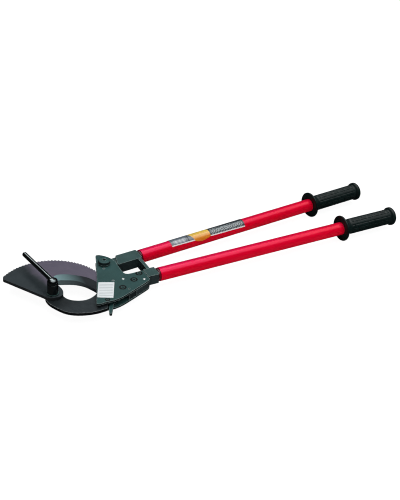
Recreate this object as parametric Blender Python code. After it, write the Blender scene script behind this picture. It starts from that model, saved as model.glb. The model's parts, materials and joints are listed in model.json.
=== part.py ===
# Two-handed ratcheting cable cutter, lying flat. All lengths below are in millimetres unless a name
# ends in _m; they are turned into metres when the meshes are written.
# Working frame: x runs along the fixed handle from the cutting head to the grips, y is across the
# handles, z is up with z = 0 at the height of the tube axes.
import bpy
import bmesh
import math
from mathutils import Vector

# ---------------------------------------------------------------- driving dimensions
X_SHIFT, Y_SHIFT, Z_SHIFT = 305.8, 16.195, 23.5      # working frame -> part frame (box bottom centre)
PIVOT = (1.0, 1.8)             # blade pivot
HANDLE_PIVOT = (107.2, 41.2)   # moving handle's bolt
DRIVE_PIN = (107.0, 16.5)      # drive pawl's pin on the moving handle's tang
DRIVE_PAWL_LENGTH = 34.0
HOLD_PIN = (107.9, -31.6)      # holding pawl turns on the first plate screw
LAYER_GAP = 0.3
BLADE_Z = (0.15, 5.75)         # blade layer
JAW_Z = (-5.75, -0.15)         # jaw layer
TOP_Z = (6.05, 9.25)           # upper side plate
BOTTOM_Z = (-9.25, -6.05)      # lower side plate
TOOTH_TIP_R = 92.8
TOOTH_DEPTH = 2.1
TOOTH_PITCH = 3.5              # degrees
TOOTH_FROM, TOOTH_TO = -31.0, 126.6
PAWL_TIP_R = 93.25
TUBE_R, TUBE_WALL = 11.7, 2.1
HANDLE_ANGLE = 4.99            # moving handle's lean at rest, degrees
FIXED_Y = -10.4                # fixed handle's axis
GRIP_LENGTH = 115.9
GRIP_FLANGE_R, GRIP_BODY_R, GRIP_END_R = 23.5, 14.0, 16.9
FIXED_TUBE = (183.5, 665.5)
FIXED_GRIP_X = 553.5
MOVING_AXIS_POINT = (302.53, 60.11)
MOVING_TUBE_X = 177.6
MOVING_GRIP_X = 544.7

# ---------------------------------------------------------------- helpers
for _o in list(bpy.data.objects):
    bpy.data.objects.remove(_o, do_unlink=True)

MATS = {}


def material(name, rgb, metallic, rough):
    m = bpy.data.materials.new(name)
    m.use_nodes = True
    b = m.node_tree.nodes["Principled BSDF"]
    b.inputs["Base Color"].default_value = (rgb[0], rgb[1], rgb[2], 1.0)
    b.inputs["Metallic"].default_value = metallic
    b.inputs["Roughness"].default_value = rough
    m.diffuse_color = (rgb[0], rgb[1], rgb[2], 1.0)
    MATS[name] = m


material("plate_grey", (0.10, 0.13, 0.125), 0.6, 0.45)
material("blade_steel", (0.13, 0.12, 0.135), 0.8, 0.38)
material("jaw_steel", (0.07, 0.08, 0.085), 0.8, 0.42)
material("black_gloss", (0.012, 0.012, 0.013), 0.3, 0.2)
material("red_paint", (0.55, 0.01, 0.03), 0.1, 0.25)
material("dark_red", (0.25, 0.008, 0.02), 0.1, 0.35)
material("grip_rubber", (0.03, 0.035, 0.035), 0.0, 0.75)
material("zinc", (0.45, 0.47, 0.46), 0.9, 0.35)
material("bright_pin", (0.7, 0.72, 0.72), 0.95, 0.25)
material("screw_dark", (0.08, 0.10, 0.10), 0.8, 0.4)
material("label_white", (0.82, 0.84, 0.83), 0.0, 0.5)
material("spring_steel", (0.35, 0.35, 0.36), 0.95, 0.3)


def to_row(x, y, z):
    return Vector(((x - X_SHIFT) / 1000.0, (y - Y_SHIFT) / 1000.0, (z + Z_SHIFT) / 1000.0))


def outward(bm):
    bmesh.ops.recalc_face_normals(bm, faces=bm.faces)
    if bm.calc_volume(signed=True) < 0:
        bmesh.ops.reverse_faces(bm, faces=bm.faces)


def finish(name, bm, mat, origin=None, crease=32.0):
    bmesh.ops.remove_doubles(bm, verts=bm.verts, dist=0.0005)
    outward(bm)
    ox, oy, oz = origin if origin else (0.0, 0.0, -Z_SHIFT)
    o = to_row(ox, oy, oz) if origin else Vector((0.0, 0.0, 0.0))
    for v in bm.verts:
        v.co = to_row(v.co.x, v.co.y, v.co.z) - o
    me = bpy.data.meshes.new(name)
    bm.to_mesh(me)
    bm.free()
    ob = bpy.data.objects.new(name, me)
    ob.location = o
    bpy.context.scene.collection.objects.link(ob)
    me.materials.append(MATS[mat])
    for p in me.polygons:
        p.use_smooth = True
    me.set_sharp_from_angle(angle=math.radians(crease))
    return ob


def area2(pts):
    return sum(a[0] * b[1] - b[0] * a[1] for a, b in zip(pts, pts[1:] + pts[:1]))


def ccw(pts):
    return list(pts) if area2(list(pts)) > 0 else list(reversed(pts))


def fillet(pts, radii, steps=4):
    """Round the corners of a polygon; radii is one number or a dict of vertex index to radius."""
    n = len(pts)
    out = []
    for i in range(n):
        r = radii.get(i, 0.0) if isinstance(radii, dict) else radii
        p, a, b = Vector(pts[i]), Vector(pts[i - 1]), Vector(pts[(i + 1) % n])
        u, v = (a - p), (b - p)
        lu, lv = u.length, v.length
        if r <= 0 or lu < 1e-6 or lv < 1e-6:
            out.append((p.x, p.y))
            continue
        u.normalize()
        v.normalize()
        ang = math.acos(max(-1.0, min(1.0, u.dot(v))))
        if ang > math.radians(172):
            out.append((p.x, p.y))
            continue
        t = min(r / math.tan(ang / 2), lu * 0.48, lv * 0.48)
        rr = t * math.tan(ang / 2)
        c = p + (u + v).normalized() * (rr / math.sin(ang / 2))
        s, e = p + u * t, p + v * t
        a0 = math.atan2(s.y - c.y, s.x - c.x)
        a1 = math.atan2(e.y - c.y, e.x - c.x)
        d = a1 - a0
        while d > math.pi:
            d -= 2 * math.pi
        while d < -math.pi:
            d += 2 * math.pi
        for k in range(steps + 1):
            w = a0 + d * k / steps
            out.append((c.x + rr * math.cos(w), c.y + rr * math.sin(w)))
    return out


def prism_bm(pts, z0, z1, bm=None):
    bm = bm or bmesh.new()
    pts = ccw(pts)
    lo = [bm.verts.new((x, y, z0)) for x, y in pts]
    hi = [bm.verts.new((x, y, z1)) for x, y in pts]
    n = len(pts)
    for i in range(n):
        j = (i + 1) % n
        bm.faces.new((lo[i], lo[j], hi[j], hi[i]))
    f0 = bm.faces.new(list(reversed(lo)))
    f1 = bm.faces.new(hi)
    bm.normal_update()
    bmesh.ops.triangulate(bm, faces=[f0, f1], ngon_method="EAR_CLIP")
    return bm


def ring_pts(x, y, r, n=24, start=0.0):
    return [(x + r * math.cos(start + 2 * math.pi * k / n), y + r * math.sin(start + 2 * math.pi * k / n))
            for k in range(n)]


def lathe_bm(profile, base, direction, n=32, bm=None, closed=False):
    """Revolve (radius, distance) pairs about an axis through base along direction (a 3-vector).
    A closed profile is a ring section; an open one must start and end on the axis."""
    bm = bm or bmesh.new()
    d = Vector(direction).normalized()
    ref = Vector((0, 0, 1)) if abs(d.z) < 0.9 else Vector((1, 0, 0))
    u = (ref - d * ref.dot(d)).normalized()
    w = d.cross(u)
    b = Vector(base)
    rings = []
    for r, s in profile:
        if r < 1e-6:
            rings.append([bm.verts.new(b + d * s)])
        else:
            rings.append([bm.verts.new(b + d * s + u * (r * math.cos(2 * math.pi * k / n)) +
                                       w * (r * math.sin(2 * math.pi * k / n))) for k in range(n)])
    m = len(rings)
    pairs = [(i, i + 1) for i in range(m - 1)] + ([(m - 1, 0)] if closed else [])
    for i, j in pairs:
        a, c = rings[i], rings[j]
        for k in range(n):
            l = (k + 1) % n
            if len(a) == 1 and len(c) == 1:
                continue
            if len(a) == 1:
                bm.faces.new((a[0], c[l], c[k]))
            elif len(c) == 1:
                bm.faces.new((a[k], a[l], c[0]))
            else:
                bm.faces.new((a[k], a[l], c[l], c[k]))
    return bm


def temp_object(bm):
    outward(bm)
    me = bpy.data.meshes.new("tmp")
    bm.to_mesh(me)
    bm.free()
    ob = bpy.data.objects.new("tmp", me)
    bpy.context.scene.collection.objects.link(ob)
    return ob


def combine(bm, steps):
    """Apply Boolean steps, each ("DIFFERENCE" or "UNION", bmesh), and return a bmesh."""
    ob = temp_object(bm)
    for op, other in steps:
        cut = temp_object(other)
        mod = ob.modifiers.new("b", "BOOLEAN")
        mod.operation = op
        mod.solver = "EXACT"
        mod.object = cut
        dg = bpy.context.evaluated_depsgraph_get()
        me = bpy.data.meshes.new_from_object(ob.evaluated_get(dg))
        ob.modifiers.clear()
        old = ob.data
        ob.data = me
        bpy.data.meshes.remove(old)
        cm = cut.data
        bpy.data.objects.remove(cut, do_unlink=True)
        bpy.data.meshes.remove(cm)
    out = bmesh.new()
    out.from_mesh(ob.data)
    me = ob.data
    bpy.data.objects.remove(ob, do_unlink=True)
    bpy.data.meshes.remove(me)
    bmesh.ops.remove_doubles(out, verts=out.verts, dist=0.0005)
    bmesh.ops.dissolve_degenerate(out, dist=0.0005, edges=out.edges)
    out.normal_update()
    bmesh.ops.triangulate(out, faces=[f for f in out.faces if len(f.verts) > 4])
    return out


def hole(x, y, r, z0=-40.0, z1=60.0, n=20):
    return ("DIFFERENCE", prism_bm(ring_pts(x, y, r, n), z0, z1))


def z_lathe(profile, x, y, n=24, closed=False):
    return lathe_bm(profile, (x, y, 0.0), (0, 0, 1), n, closed=closed)


def hexagon(x, y, af, turn=0.0):
    return ring_pts(x, y, af / 2 / math.cos(math.pi / 6), 6, turn)


# ---------------------------------------------------------------- side plates
PLATE = [
    (51.8, -55.8), (63.2, -30.0), (76.3, 0.0), (85.2, 21.0), (93.6, 42.0), (103.6, 69.4), (109.5, 67.6), (113.8, 64.4),
    (117.8, 60.2), (121.2, 55.6), (123.8, 50.4), (125.6, 44.6), (126.8, 36.9), (126.0, 24.0), (125.2, 11.5),
    (125.8, 5.6), (127.6, 1.6), (131.0, -0.8), (136.0, -1.4), (158.2, -1.4), (158.4, -27.8), (154.4, -31.0),
    (147.5, -34.2), (137.0, -38.6), (124.8, -43.8), (109.3, -50.3), (100.0, -53.8), (92.5, -56.0), (83.0, -57.6),
    (75.0, -57.2), (66.0, -56.6), (57.0, -57.6),
]
PLATE_ROUND = fillet(PLATE, {0: 2.0, 5: 2.5, 19: 2.5, 20: 2.0, 31: 3.0})

SCREWS = [(107.9, -31.6), (133.7, -19.2), (148.7, -6.4)]
SCREW_R, SCREW_HEAD_R = 2.9, 4.4
GUIDE = (72.2, -52.2)
PINS = {"dowel_pin": (149.9, -24.3), "spring_anchor_pin": (101.2, -8.7), "stop_pin": (101.0, 28.2),
        "tang_pin": (118.4, -10.5)}
PIN_R = 1.95
ROLL_PIN = (115.6, -39.2)
JAW_SCREWS = [(70.0, -44.0), (91.0, -22.0)]
FIT = 0.12

steps = [hole(HANDLE_PIVOT[0], HANDLE_PIVOT[1], 5.0 + FIT)]
for sx, sy in SCREWS:
    steps.append(hole(sx, sy, SCREW_R + FIT))
    steps.append(hole(sx, sy, SCREW_HEAD_R + 0.45, 7.15, 60.0))
steps.append(hole(GUIDE[0], GUIDE[1], 1.6 + FIT))
steps.append(hole(GUIDE[0], GUIDE[1], 2.9 + 0.35, 7.6, 60.0))
for px, py in PINS.values():
    steps.append(hole(px, py, PIN_R + FIT, n=24))
steps.append(hole(ROLL_PIN[0], ROLL_PIN[1], 1.5 + FIT, n=24))
finish("top_plate", combine(prism_bm(PLATE_ROUND, *TOP_Z), steps), "plate_grey")

steps = [hole(HANDLE_PIVOT[0], HANDLE_PIVOT[1], 5.0 + FIT)]
for sx, sy in SCREWS:
    steps.append(hole(sx, sy, SCREW_R + FIT))
for px, py in PINS.values():
    steps.append(hole(px, py, PIN_R + FIT, n=24))
steps.append(hole(ROLL_PIN[0], ROLL_PIN[1], 1.5 + FIT, n=24))
for jx, jy in JAW_SCREWS:
    steps.append(hole(jx, jy, 2.4 + FIT, n=24))
finish("bottom_plate", combine(prism_bm(PLATE_ROUND, *BOTTOM_Z), steps), "plate_grey")


# ---------------------------------------------------------------- bevelled shear pieces
def resample(pts, n):
    ds = [0.0]
    for a, b in zip(pts, pts[1:]):
        ds.append(ds[-1] + math.hypot(b[0] - a[0], b[1] - a[1]))
    out = []
    k = 0
    for i in range(n):
        s = ds[-1] * i / (n - 1)
        while k < len(pts) - 2 and ds[k + 1] < s:
            k += 1
        f = (s - ds[k]) / max(ds[k + 1] - ds[k], 1e-9)
        out.append((pts[k][0] + (pts[k + 1][0] - pts[k][0]) * f, pts[k][1] + (pts[k + 1][1] - pts[k][1]) * f))
    return out


def smooth_chain(pts, rounds=2):
    for _ in range(rounds):
        out = [pts[0]]
        for a, b in zip(pts, pts[1:]):
            out.append((a[0] * 0.75 + b[0] * 0.25, a[1] * 0.75 + b[1] * 0.25))
            out.append((a[0] * 0.25 + b[0] * 0.75, a[1] * 0.25 + b[1] * 0.75))
        out.append(pts[-1])
        pts = out
    return pts


def sheared_bm(outer, chains, zs, z_low, z_high):
    """Plate whose outline is outer (from the chains' end back round to their start) closed by an
    inner edge that steps through chains (lists of equal length, lowest first) at heights zs."""
    bm = bmesh.new()
    n = len(chains[0])
    start, end = chains[0][0], chains[0][-1]
    lo_s, hi_s = bm.verts.new((start[0], start[1], z_low)), bm.verts.new((start[0], start[1], z_high))
    lo_e, hi_e = bm.verts.new((end[0], end[1], z_low)), bm.verts.new((end[0], end[1], z_high))
    lo_o = [bm.verts.new((x, y, z_low)) for x, y in outer]
    hi_o = [bm.verts.new((x, y, z_high)) for x, y in outer]
    rows = []
    for c, z in zip(chains, zs):
        rows.append([bm.verts.new((x, y, z)) for x, y in c[1:-1]])
    lows = [lo_e] + lo_o + [lo_s]
    highs = [hi_e] + hi_o + [hi_s]
    for i in range(len(lows) - 1):
        bm.faces.new((lows[i], lows[i + 1], highs[i + 1], highs[i]))
    for a, b in zip(rows, rows[1:]):
        for i in range(n - 3):
            bm.faces.new((a[i], b[i], b[i + 1], a[i + 1]))
    # end fans: the chains meet in the vertical edges at start and end
    first = [lo_s] + [r[0] for r in rows] + [hi_s]
    last = [lo_e] + [r[-1] for r in rows] + [hi_e]
    caps = [bm.faces.new(first), bm.faces.new(last)]
    caps.append(bm.faces.new([lo_s] + rows[0] + [lo_e] + lo_o))
    caps.append(bm.faces.new([hi_s] + rows[-1] + [hi_e] + hi_o))
    bm.normal_update()
    bmesh.ops.triangulate(bm, faces=caps, ngon_method="EAR_CLIP")
    return bm


def polar(r, deg, c=PIVOT):
    return (c[0] + r * math.cos(math.radians(deg)), c[1] + r * math.sin(math.radians(deg)))


N_CHAIN = 30
B_START, B_END = (16.4, 20.5), (70.8, -49.5)
EDGE = resample([B_START] + smooth_chain([(17.0, 26.6), (30.3, 21.7), (40.6, 17.3), (46.2, 13.7), (51.3, 9.4), (57.4, 3.0),
                                          (62.3, -6.0), (65.1, -11.6), (67.2, -17.0), (69.0, -25.0), (70.0, -35.0),
                                          (70.4, -43.0)], 1) + [B_END], N_CHAIN)
MID = resample([B_START] + smooth_chain([(15.6, 28.5), (21.0, 34.2), (31.0, 30.2), (40.3, 26.0), (47.5, 21.6), (52.6, 16.6),
                                         (57.2, 10.4), (61.6, 2.5), (65.8, -7.0), (68.6, -16.0), (70.8, -26.0),
                                         (71.8, -36.0), (71.4, -44.0)], 1) + [B_END], N_CHAIN)
LIP = resample([B_START] + smooth_chain([(13.0, 30.0), (15.5, 40.0), (21.5, 46.0), (28.0, 46.0), (36.0, 43.6), (46.2, 38.6),
                                         (53.0, 33.3), (59.4, 28.4), (64.9, 23.8), (68.6, 19.6), (71.9, 14.6), (74.8, 9.0),
                                         (77.2, 2.4), (79.2, -6.0), (80.2, -15.0), (80.0, -25.0), (78.4, -35.0),
                                         (75.2, -43.5)], 1) + [B_END], N_CHAIN)
outer = [(74.6, -49.6), (78.6, -47.6)]
a = TOOTH_FROM
while a + TOOTH_PITCH <= TOOTH_TO:
    outer.append(polar(TOOTH_TIP_R - TOOTH_DEPTH, a + 0.15))
    outer.append(polar(TOOTH_TIP_R - 0.35, a + TOOTH_PITCH - 1.0))
    outer.append(polar(TOOTH_TIP_R, a + TOOTH_PITCH - 0.4))
    outer.append(polar(TOOTH_TIP_R - 0.2, a + TOOTH_PITCH))
    a += TOOTH_PITCH
outer += [(-55.2, 75.2), (-56.6, 73.4), (-57.5, 71.4), (-57.8, 69.4), (-57.4, 67.4), (-56.5, 65.8), (-55.4, 64.4)]
outer += smooth_chain([(-14.6, 0.6), (-12.6, -3.4), (-9.0, -7.2), (-4.0, -10.0), (1.4, -11.1), (7.0, -10.9), (12.2, -9.0),
                       (16.2, -5.2), (18.3, 0.2), (18.8, 6.6), (18.1, 12.4), (17.3, 16.4)], 1)
BLADE_BORE_R = 8.0
blade = sheared_bm(outer, [EDGE, MID, LIP], [BLADE_Z[0], 4.0, BLADE_Z[1]], *BLADE_Z)
finish("moving_blade", combine(blade, [hole(PIVOT[0], PIVOT[1], BLADE_BORE_R + 0.1, n=36)]), "blade_steel",
       origin=(PIVOT[0], PIVOT[1], 0.0), crease=6.5)
finish("blade_bushing", z_lathe([(BLADE_BORE_R, BLADE_Z[0] + 0.1), (BLADE_BORE_R, BLADE_Z[1] - 0.1),
                                 (6.08, BLADE_Z[1] - 0.1), (6.08, BLADE_Z[0] + 0.1)], PIVOT[0], PIVOT[1], 36, True),
       "zinc", origin=(PIVOT[0], PIVOT[1], 0.0))

J_START, J_END = (15.0, 3.0), (84.6, -7.4)
JAW_TOP = resample([J_START] + smooth_chain([(16.4, -3.4), (17.6, -9.8), (20.2, -15.0), (26.0, -21.0), (36.5, -26.2),
                                             (44.6, -28.0), (53.4, -26.9), (61.9, -23.2), (68.5, -18.4), (76.0, -12.4)], 1) +
                   [J_END], N_CHAIN)
JAW_LOW = resample([J_START] + smooth_chain([(13.4, -6.0), (13.8, -12.6), (16.6, -18.4), (22.8, -25.0), (35.4, -31.0),
                                             (44.8, -32.9), (54.6, -31.6), (64.2, -27.6), (71.4, -22.2), (78.4, -16.0)], 1) +
                   [J_END], N_CHAIN)
jaw_outer = [(92.0, -2.6), (96.0, -1.6), (124.6, -1.6), (127.2, -3.6), (127.2, -22.6), (125.2, -24.6), (105.8, -24.8),
             (100.4, -29.2), (90.6, -35.2), (81.4, -40.9), (77.6, -45.4), (73.2, -51.4), (70.8, -57.4), (69.2, -60.6)]
jaw_outer += smooth_chain([(66.0, -61.5), (56.0, -62.3), (47.0, -62.0), (36.4, -60.2), (24.0, -56.4), (12.0, -50.2), (3.6, -42.6),
                           (-2.6, -32.6), (-7.4, -23.2), (-10.9, -14.6), (-12.3, -6.0), (-12.0, 1.6), (-9.2, 9.2),
                           (-3.6, 13.6), (3.0, 14.7), (9.6, 12.6), (13.4, 7.6)], 1)
jaw = sheared_bm(jaw_outer, [JAW_LOW, JAW_TOP], [JAW_Z[0], JAW_Z[1]], *JAW_Z)
steps = [hole(PIVOT[0], PIVOT[1], 6.0 + FIT, n=40)]
for pname in ("spring_anchor_pin", "tang_pin"):
    steps.append(hole(PINS[pname][0], PINS[pname][1], PIN_R + FIT, n=20))
for jx, jy in JAW_SCREWS:
    steps.append(hole(jx, jy, 2.4 + FIT, -20.0, -1.6, n=20))
finish("fixed_jaw", combine(jaw, steps), "jaw_steel", crease=14.0)

# ---------------------------------------------------------------- rear spacer between the plates
spacer = [(112.4, -48.6), (124.6, -43.5), (127.3, -42.3), (127.3, -28.0), (118.2, -29.9), (114.4, -33.0), (111.6, -39.6),
          (111.4, -45.0)]
finish("rear_spacer", combine(prism_bm(fillet(spacer, 0.8, 2), JAW_Z[0], BLADE_Z[1]),
                              [hole(ROLL_PIN[0], ROLL_PIN[1], 1.5 + FIT, n=24)]), "plate_grey")

# ---------------------------------------------------------------- fixed handle
tang = [(127.9, -2.2), (160.0, -2.2), (160.0, -24.0), (158.2, -28.2), (154.2, -31.2), (147.4, -34.4), (136.9, -38.8),
        (127.9, -42.6)]
block = fillet([(159.4, 0.6), (179.4, 0.6), (179.4, -21.0), (159.4, -21.0)], 1.4, 3)
neck = [(0.0, -2.0), (8.6, -2.0), (8.6, 4.4), (9.3, 4.8), (9.3, 36.0), (7.8, 37.5), (0.0, 37.5)]
steps = [("UNION", prism_bm(block, -9.25, 9.25)),
         ("UNION", lathe_bm(neck, (173.5, FIXED_Y, 0.0), (1, 0, 0), 40))]
for i in (1, 2):
    steps.append(hole(SCREWS[i][0], SCREWS[i][1], SCREW_R + FIT))
steps.append(hole(PINS["dowel_pin"][0], PINS["dowel_pin"][1], PIN_R + FIT, n=24))
finish("fixed_socket", combine(prism_bm(tang, JAW_Z[0], BLADE_Z[1]), steps), "plate_grey")


def handle(prefix, base, angle, tube_length, grip_at, origin=None):
    d = (math.cos(math.radians(angle)), math.sin(math.radians(angle)), 0.0)
    b = (base[0], base[1], 0.0)
    tube = [(TUBE_R - 0.4, 0.0), (TUBE_R, 0.5), (TUBE_R, tube_length), (TUBE_R - TUBE_WALL, tube_length),
            (TUBE_R - TUBE_WALL, 0.0)]
    finish(prefix + "_tube", lathe_bm(tube, b, d, 40, closed=True), "red_paint", origin=origin)
    collar = [(9.65, -3.6), (10.9, -3.5), (11.3, -2.6), (11.3, -0.7), (9.65, -0.3)]
    finish(prefix + "_tube_collar", lathe_bm(collar, b, d, 32, closed=True), "dark_red", origin=origin)
    g = GRIP_LENGTH
    profile = [(TUBE_R + 0.15, 0.0), (GRIP_FLANGE_R - 1.0, 0.0), (GRIP_FLANGE_R - 0.2, 0.6), (GRIP_FLANGE_R, 1.6),
               (GRIP_FLANGE_R - 0.2, 2.8), (GRIP_FLANGE_R - 1.2, 3.6), (19.0, 4.2), (16.6, 5.2), (15.2, 7.2), (14.5, 10.5),
               (GRIP_BODY_R, 16.0), (GRIP_BODY_R, 98.0), (GRIP_BODY_R + 0.2, 105.6), (14.9, 107.6), (GRIP_END_R - 0.5, 109.0),
               (GRIP_END_R, 110.2), (GRIP_END_R, 112.6), (GRIP_END_R - 0.6, 114.2), (14.4, 115.5), (9.0, GRIP_LENGTH),
               (0.0, GRIP_LENGTH)]
    gb = (b[0] + d[0] * grip_at, b[1] + d[1] * grip_at, 0.0)
    # the bore is blind: it runs from the flange to the end cap
    bore = [(TUBE_R + 0.15, 0.0), (TUBE_R + 0.15, tube_length - grip_at + 0.4), (0.0, tube_length - grip_at + 0.4)]
    bm = bmesh.new()
    prof = list(reversed(bore)) + profile[1:]
    lathe_bm(prof, gb, d, 32, bm=bm)
    finish(prefix + "_grip", bm, "grip_rubber", origin=origin)


# the moving handle's decal: a curved sheet whose lower edge has one pointed tab
DECAL_FROM, DECAL_TO = 58.5, 212.0      # along the tube
DECAL_TOP, DECAL_LOW = 150.0, (35.0, 22.0)  # degrees up from the outer side
DECAL_TAB = [(103.5, 0.0), (111.0, -11.0), (119.5, -19.0), (128.0, -12.5), (137.5, 0.0)]


def decal_bm(base, angle):
    d = Vector((math.cos(math.radians(angle)), math.sin(math.radians(angle)), 0.0))
    side = Vector((-d.y, d.x, 0.0))
    b = Vector((base[0], base[1], 0.0))
    tab = []
    for p, q in zip(DECAL_TAB, DECAL_TAB[1:]):
        tab += [p, ((p[0] + q[0]) / 2, (p[1] + q[1]) / 2)]
    stations = [(DECAL_FROM, 0.0), (81.0, 0.0)] + tab + [DECAL_TAB[-1], (162.0, 0.0), (187.0, 0.0), (DECAL_TO, 0.0)]
    bm = bmesh.new()
    m = 14
    grids = []
    for r in (TUBE_R + 0.15, TUBE_R + 0.5):
        rows = []
        for u, drop in stations:
            f = (u - DECAL_FROM) / (DECAL_TO - DECAL_FROM)
            low = DECAL_LOW[0] + (DECAL_LOW[1] - DECAL_LOW[0]) * f + drop
            row = []
            for k in range(m + 1):
                t = math.radians(low + (DECAL_TOP - low) * k / m)
                row.append(bm.verts.new(b + d * u - side * (r * math.cos(t)) + Vector((0, 0, r * math.sin(t)))))
            rows.append(row)
        grids.append(rows)
    inner, outer_rows = grids
    n = len(stations)
    for i in range(n - 1):
        for k in range(m):
            bm.faces.new((outer_rows[i][k], outer_rows[i + 1][k], outer_rows[i + 1][k + 1], outer_rows[i][k + 1]))
            bm.faces.new((inner[i][k], inner[i][k + 1], inner[i + 1][k + 1], inner[i + 1][k]))
        for k in (0, m):
            bm.faces.new((inner[i][k], inner[i + 1][k], outer_rows[i + 1][k], outer_rows[i][k]))
    for i in (0, n - 1):
        for k in range(m):
            bm.faces.new((inner[i][k], outer_rows[i][k], outer_rows[i][k + 1], inner[i][k + 1]))
    return bm


handle("fixed", (FIXED_TUBE[0], FIXED_Y), 0.0, FIXED_TUBE[1] - FIXED_TUBE[0], FIXED_GRIP_X - FIXED_TUBE[0])

# ---------------------------------------------------------------- moving handle
HP = (HANDLE_PIVOT[0], HANDLE_PIVOT[1], 0.0)
ta = math.tan(math.radians(HANDLE_ANGLE))
my = MOVING_AXIS_POINT[1] + (MOVING_TUBE_X - MOVING_AXIS_POINT[0]) * ta
ca, sa = math.cos(math.radians(HANDLE_ANGLE)), math.sin(math.radians(HANDLE_ANGLE))


def on_axis(s, off=0.0):
    """Point s along the moving handle's axis from the tube's start, off to its left."""
    return (MOVING_TUBE_X + s * ca - off * sa, my + s * sa + off * ca)


mblock = [(133.9, 55.6), (173.0, 58.7), (173.9, 33.9), (127.5, 29.9)]
# full-thickness boss round the pivot bolt, web to the block, and a thin lobe for the pawl's pin
web = [(141.0, 38.0), (141.0, 54.4), (136.0, 55.6), (124.0, 54.2), (115.4, 52.8)]
web += [(HP[0] + 11.0 * math.cos(math.radians(t)), HP[1] + 11.0 * math.sin(math.radians(t))) for t in range(72, 264, 12)]
web += [(112.0, 30.4), (124.6, 31.0), (129.4, 33.4)]
lobe = [(103.6, 36.0), (105.4, 31.6), (104.6, 27.0), (102.2, 21.6), (100.9, 17.2), (101.8, 13.2), (104.2, 10.9), (107.4, 10.2),
        (110.8, 11.2), (113.0, 14.0), (116.0, 21.0), (120.4, 29.4), (122.0, 36.0)]
neck = [(0.0, -8.0), (8.6, -8.0), (8.6, -3.0), (9.3, -2.6), (9.3, 32.0), (7.8, 33.5), (0.0, 33.5)]
mbx, mby = on_axis(-1.6)
bm = combine(prism_bm(fillet(mblock, {0: 2.0, 1: 1.6, 2: 1.6, 3: 2.0}, 3), -9.25, 9.25), [
    ("UNION", prism_bm(web, JAW_Z[0], BLADE_Z[1])),
    ("UNION", prism_bm(lobe, JAW_Z[0] + 0.15, JAW_Z[1] - 0.1)),
    ("UNION", lathe_bm(neck, (mbx, mby, 0.0), (ca, sa, 0.0), 40)),
    hole(HP[0], HP[1], 5.0 + 0.1),
    hole(DRIVE_PIN[0], DRIVE_PIN[1], 2.4 + FIT, n=24),
    hole(DRIVE_PIN[0], DRIVE_PIN[1], 5.2, -8.0, -1.8, n=24),
])
finish("moving_socket", bm, "plate_grey", origin=HP)
arm = [(165.6, 32.85), (171.4, 33.35), (171.9, 0.95), (166.2, 0.95)]
finish("stop_arm", prism_bm(fillet(arm, 0.7, 2), -9.0, 9.0), "plate_grey", origin=HP)
handle("moving", (MOVING_TUBE_X, my), HANDLE_ANGLE, (MOVING_GRIP_X - MOVING_TUBE_X) / ca + 112.0,
       (MOVING_GRIP_X - MOVING_TUBE_X) / ca, origin=HP)
finish("handle_decal", decal_bm((MOVING_TUBE_X, my), HANDLE_ANGLE), "label_white", origin=HP)

# ---------------------------------------------------------------- handle pivot bolt
bolt = [(0.0, -23.5), (5.0, -23.5), (5.0, 11.35), (10.1, 11.35), (10.1, 16.0), (9.2, 17.0), (6.6, 17.3), (3.2, 17.3),
        (3.2, 14.6), (0.0, 14.6)]
finish("handle_pivot_bolt", z_lathe(bolt, HP[0], HP[1], 32), "plate_grey")


def washer(name, x, y, z0, z1, r_out, r_in, mat="zinc", n=28, origin=None):
    finish(name, z_lathe([(r_in, z0), (r_out, z0), (r_out, z1), (r_in, z1)], x, y, n, True), mat, origin=origin)


def nut(name, x, y, z0, z1, af, r_in, mat="zinc", turn=0.0):
    finish(name, combine(prism_bm(hexagon(x, y, af, turn), z0, z1), [hole(x, y, r_in, n=24)]), mat)


washer("handle_pivot_washer_top", HP[0], HP[1], 9.4, 11.2, 10.6, 5.15, "screw_dark", 32)
washer("handle_pivot_washer", HP[0], HP[1], -11.0, -9.4, 9.6, 5.15)
nut("handle_pivot_nut", HP[0], HP[1], -19.6, -11.15, 16.0, 5.15, turn=0.3)

# ---------------------------------------------------------------- plate screws, nuts and pins
for i, (sx, sy) in enumerate(SCREWS, 1):
    prof = [(0.0, -15.6), (SCREW_R, -15.6), (SCREW_R, 7.35), (SCREW_HEAD_R, 7.35), (SCREW_HEAD_R, 9.0),
            (SCREW_HEAD_R - 0.4, 9.4), (2.1, 9.4), (2.1, 7.9), (0.0, 7.9)]
    finish("plate_screw_%d" % i, z_lathe(prof, sx, sy, 24), "screw_dark")
    nut("plate_nut_%d" % i, sx, sy, -14.4, -9.45, 10.0, SCREW_R + FIT, turn=0.2 * i)
prof = [(0.0, 6.35), (1.6, 6.35), (1.6, 7.75), (2.9, 7.75), (2.9, 9.3), (2.6, 9.5), (1.3, 9.5), (1.3, 8.7), (0.0, 8.7)]
finish("guide_screw", z_lathe(prof, GUIDE[0], GUIDE[1], 20), "screw_dark")


def pin(name, x, y, z0, z1, r=PIN_R, mat="bright_pin", origin=None):
    finish(name, z_lathe([(0.0, z0), (r, z0), (r, z1 - 0.45), (r * 0.7, z1 - 0.1), (0.0, z1)], x, y, 20),
           mat, origin=origin)


for pname, (px, py) in PINS.items():
    pin(pname, px, py, -9.6, 9.85)
finish("roll_pin", z_lathe([(1.5, -9.1), (1.5, 9.0), (0.95, 9.0), (0.95, -9.1)], ROLL_PIN[0], ROLL_PIN[1], 24, True), "screw_dark")
for i, (jx, jy) in enumerate(JAW_SCREWS, 1):
    prof = [(0.0, -11.6), (3.6, -11.6), (4.2, -11.0), (4.2, -9.4), (2.4, -9.4), (2.4, -1.9), (0.0, -1.9)]
    finish("jaw_screw_%d" % i, z_lathe(prof, jx, jy, 20), "screw_dark")

# ---------------------------------------------------------------- label plate on the upper side plate
lab = fillet([(77.1, -4.4), (101.0, -14.4), (82.2, -52.2), (59.0, -40.8)], 1.2, 3)
finish("label_plate", prism_bm(lab, TOP_Z[1] + 0.15, TOP_Z[1] + 0.75), "label_white")

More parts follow.
